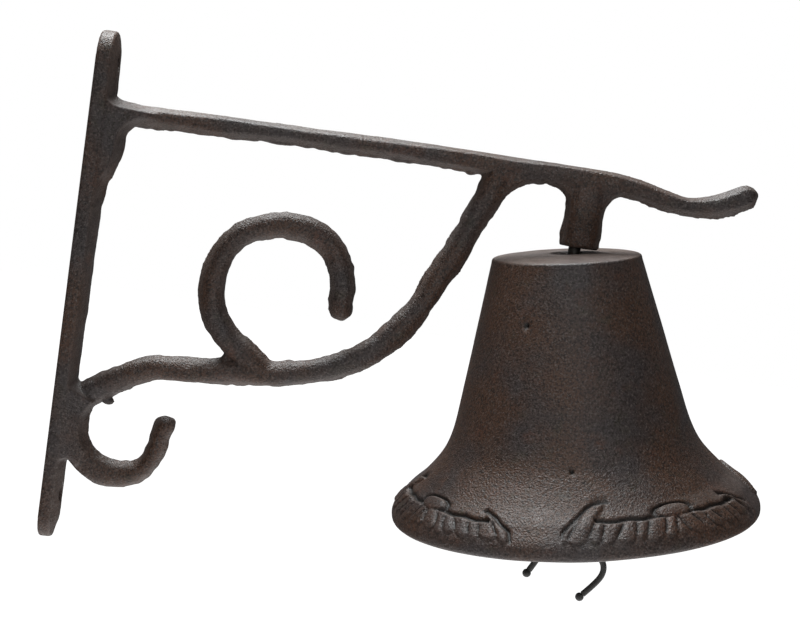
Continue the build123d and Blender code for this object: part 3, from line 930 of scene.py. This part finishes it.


def iron_material(name, axis, unlit_at, lit_at, light_amount):
    """Brown paint on sand-cast iron: mottled brown, blue-grey and rust, with a painted highlight on
    the edges and painted shade in hollows, creases, pits and crevices.

    It also paints faces paler, as light falling on them, by how much of their normal lies along an
    axis of the part:
    none where that share is the first number given, and the given amount where it is the second.
    """
    n = Nodes(name)
    colour = n.mix(n.grey(n.noise(30, 3), 0.44, 0.62), BROWN, SLATE)
    colour = n.mix(n.grey(n.noise(11, 4, 0.6), 0.56, 0.70, 0, 0.8), colour, RUST)
    colour = n.mix(n.grey(n.noise(8, 3, 0.6), 0.58, 0.72, 0, 0.7), colour, MOSS)
    colour = n.mix(n.grey(n.noise(0.95, 1.5, 0.6), 0.36, 0.56, 0.9, 0.0), colour, DARK)
    colour = n.mix(n.grey(n.noise(0.8, 1, 0.5, 3), 0.54, 0.70, 0, 0.42), colour, PALE)
    pointed = n.add("ShaderNodeNewGeometry").outputs["Pointiness"]
    # painted highlight: convex edges, found by pointiness, are painted paler
    colour = n.mix(n.grey(pointed, 0.52, 0.62, 0, 0.35), colour, EDGE_HIGHLIGHT)
    # painted shade: hollows, found by low pointiness, are painted dark
    colour = n.mix(n.grey(pointed, 0.485, 0.40, 0, 0.75), colour, HOLLOW_SHADE)
    # painted light: faces are painted paler in patches by the way they face, as light falling on
    # them
    facing = n.add("ShaderNodeSeparateXYZ")
    n.link(n.tree.nodes["Texture Coordinate"].outputs["Normal"], facing.inputs[0])
    turned = n.add("ShaderNodeMath", operation="ABSOLUTE")
    n.link(facing.outputs[axis], turned.inputs[0])
    patchy = n.grey(n.noise(6, 3, 0.6), 0.35, 0.6, 0.45, 1.0)
    amount = n.add("ShaderNodeMath", operation="MULTIPLY")
    n.link(n.grey(turned.outputs[0], unlit_at, lit_at, 0, light_amount), amount.inputs[0])
    n.link(patchy, amount.inputs[1])
    colour = n.mix(amount.outputs[0], colour, FACE_LIGHT)
    # painted shade: the creases and pits marked in the mesh attribute are painted dark
    crease_shade = n.add("ShaderNodeAttribute", attribute_name=CREASE).outputs["Fac"]
    colour = n.mix(n.grey(crease_shade, 0.1, 0.9, 0, 0.85), colour, CREASE_SHADE)
    # painted shade: ambient occlusion paints crevices and corners dark
    ao_shade = n.add("ShaderNodeAmbientOcclusion", samples=8, only_local=True)
    ao_shade.inputs["Distance"].default_value = CREVICE_W * MM
    colour = n.mix(n.grey(ao_shade.outputs["AO"], 0.62, 0.97, 0.95, 0), colour, CREVICE_SHADE)
    n.link(colour, n.shader.inputs["Base Color"])
    n.link(n.grey(n.noise(5, 3), 0.3, 0.7, 0.38, 0.52), n.shader.inputs["Roughness"])
    n.shader.inputs["Specular IOR Level"].default_value = 0.32
    grain = n.bump(n.noise(0.75, 2, 0.6), 1.0, 0.36)
    grain = n.bump(n.noise(1.5, 2, 0.55), 0.6, 0.32, grain)
    n.link(grain, n.shader.inputs["Normal"])
    return n.material


def steel_material():
    """Blackened steel, bare and paler in places, with specks of rust; its black is also kept dark
    enough to stand in for the shade in the gap under the post, where the bolt shows.
    """
    n = Nodes("dull_steel")
    # painted shade in part: the black steel colour is this dark also so that the bolt in the gap
    # under the post reads as that gap's shade
    blackened_as_shade, bare, rust = (0.030, 0.026, 0.023), (0.075, 0.068, 0.062), (0.045, 0.022, 0.014)
    colour = n.mix(n.grey(n.noise(3, 3), 0.4, 0.65), blackened_as_shade, bare)
    colour = n.mix(n.grey(n.noise(1.2, 2), 0.6, 0.75), colour, rust)
    n.link(colour, n.shader.inputs["Base Color"])
    n.shader.inputs["Metallic"].default_value = 0.85
    n.link(n.grey(n.noise(1.6, 2), 0.3, 0.7, 0.38, 0.6), n.shader.inputs["Roughness"])
    n.link(n.bump(n.noise(0.5, 2), 0.3, 0.05), n.shader.inputs["Normal"])
    return n.material


def cord_material():
    """Black braided cord: a fine diagonal weave and a soft sheen."""
    n = Nodes("black_cord")
    weave = n.noise(0.45, 2, 0.6)
    colour = n.mix(n.grey(weave, 0.35, 0.65), (0.006, 0.0055, 0.005), (0.030, 0.027, 0.025))
    n.link(colour, n.shader.inputs["Base Color"])
    n.link(n.grey(weave, 0.3, 0.7, 0.62, 0.8), n.shader.inputs["Roughness"])
    n.shader.inputs["Sheen Weight"].default_value = 0.25
    n.link(n.bump(weave, 0.5, 0.15), n.shader.inputs["Normal"])
    return n.material


def paper_material():
    """The floor's plain pale paper, lit evenly to its edges."""
    n = Nodes("white_floor")
    colour = n.mix(n.grey(n.noise(400, 2), 0.3, 0.7), (0.90, 0.90, 0.90), (0.93, 0.93, 0.93))
    n.link(colour, n.shader.inputs["Base Color"])
    n.shader.inputs["Roughness"].default_value = 0.9
    n.shader.inputs["Specular IOR Level"].default_value = 0.1
    n.shader.inputs["Emission Color"].default_value = (1, 1, 1, 1)
    n.shader.inputs["Emission Strength"].default_value = 1.0
    return n.material


# ---- stage ------------------------------------------------------------------------------
FLOOR_Z, FLOOR_HALF = -1300, 9000
SURROUND = 0.12  # how bright the surround is as a light
TOP_WATTS, FRONT_WATTS, BOUNCE_WATTS = 23, 7, 3.0
COOL, WHITE = (0.93, 0.98, 1.0), (1, 1, 1)  # the lamps' colours: the highlights are bluish


def make_stage():
    """A pale floor that meets a white surround, and soft light from above and in front."""
    h = FLOOR_HALF
    corners = [(-h, -h, FLOOR_Z), (h, -h, FLOOR_Z), (h, h, FLOOR_Z), (-h, h, FLOOR_Z)]
    floor = new_object("floor", corners, [(0, 1, 2, 3)], paper_material())
    floor.visible_diffuse = False
    floor.visible_glossy = False
    make_surround()
    soft_light("top_light", (-110, 200, 840), (150, 0, 0), 600, TOP_WATTS, COOL)
    soft_light("front_light", (190, -1500, 560), (200, 0, 0), 420, FRONT_WATTS, COOL)
    soft_light("paper_bounce", (190, -60, -290), (150, 0, 0), 800, BOUNCE_WATTS, WHITE)


def make_surround():
    """White to the eye, and dimmer as a light: a plain paper sweep well behind the object."""
    world = bpy.data.worlds.new("surround")
    world.use_nodes = True
    tree = world.node_tree
    seen = tree.nodes.new("ShaderNodeBackground")
    seen.inputs["Color"].default_value = (1, 1, 1, 1)
    light = tree.nodes["Background"]
    light.inputs["Color"].default_value = (1, 1, 1, 1)
    light.inputs["Strength"].default_value = SURROUND
    mix = tree.nodes.new("ShaderNodeMixShader")
    path = tree.nodes.new("ShaderNodeLightPath")
    tree.links.new(path.outputs["Is Camera Ray"], mix.inputs[0])
    tree.links.new(light.outputs[0], mix.inputs[1])
    tree.links.new(seen.outputs[0], mix.inputs[2])
    tree.links.new(mix.outputs[0], tree.nodes["World Output"].inputs[0])
    bpy.context.scene.world = world
    bpy.context.scene.view_settings.view_transform = "Standard"


def soft_light(name, at_mm, target_mm, size_mm, watts, colour):
    """A large square lamp turned to its target, and unseen by the camera."""
    data = bpy.data.lights.new(name, "AREA")
    data.shape = "SQUARE"
    data.size = size_mm * MM
    data.energy = watts
    data.color = colour
    lamp = bpy.data.objects.new(name, data)
    at, target = Vector(at_mm) * MM, Vector(target_mm) * MM
    lamp.location = at
    lamp.visible_camera = False
    lamp.rotation_euler = (target - at).to_track_quat("-Z", "Y").to_euler()
    bpy.context.scene.collection.objects.link(lamp)


# ---- build ------------------------------------------------------------------------------
make_camera()
cord_black = cord_material()
# The last three numbers paint faces paler as light: the bracket's sides that turn away from the
# front, and the bell's faces that turn up or down, such as its crown.
bracket_iron = iron_material("bracket_iron", "Y", unlit_at=0.85, lit_at=0.62, light_amount=0.45)
bell_iron = iron_material("bell_iron", "Z", unlit_at=0.80, lit_at=0.95, light_amount=0.75)
steel = steel_material()

for side, points, length in (("left", TAIL_LEFT, 0.03), ("right", TAIL_RIGHT, 0.0455)):
    tail = nurbs("pull_cord_" + side, points, CORD_D, cord_black)
    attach(tail, "clapper")
    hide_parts("cord_tail_" + side)

make_stage()

bracket = cast_bracket(bracket_iron)
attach(bracket, "bracket")
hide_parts("bracket_casting")

bell = make_bell(bell_iron)
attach(bell, "bell_body")
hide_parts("bell")

FINISH = {
    "eye_bolt": steel,
    "hanger_nut": steel,
    "dome_washer": steel,
    "dished_washer": steel,
    "seat_washer": steel,
    "clapper_link": steel,
    "clapper_rod": steel,
    "clapper_bob": bell_iron,
    "cord_knot": cord_black,
    "cord_end_left": cord_black,
    "cord_end_right": cord_black,
}
for node, material in FINISH.items():
    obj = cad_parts[node]
    obj.data.materials.clear()
    obj.data.materials.append(material)
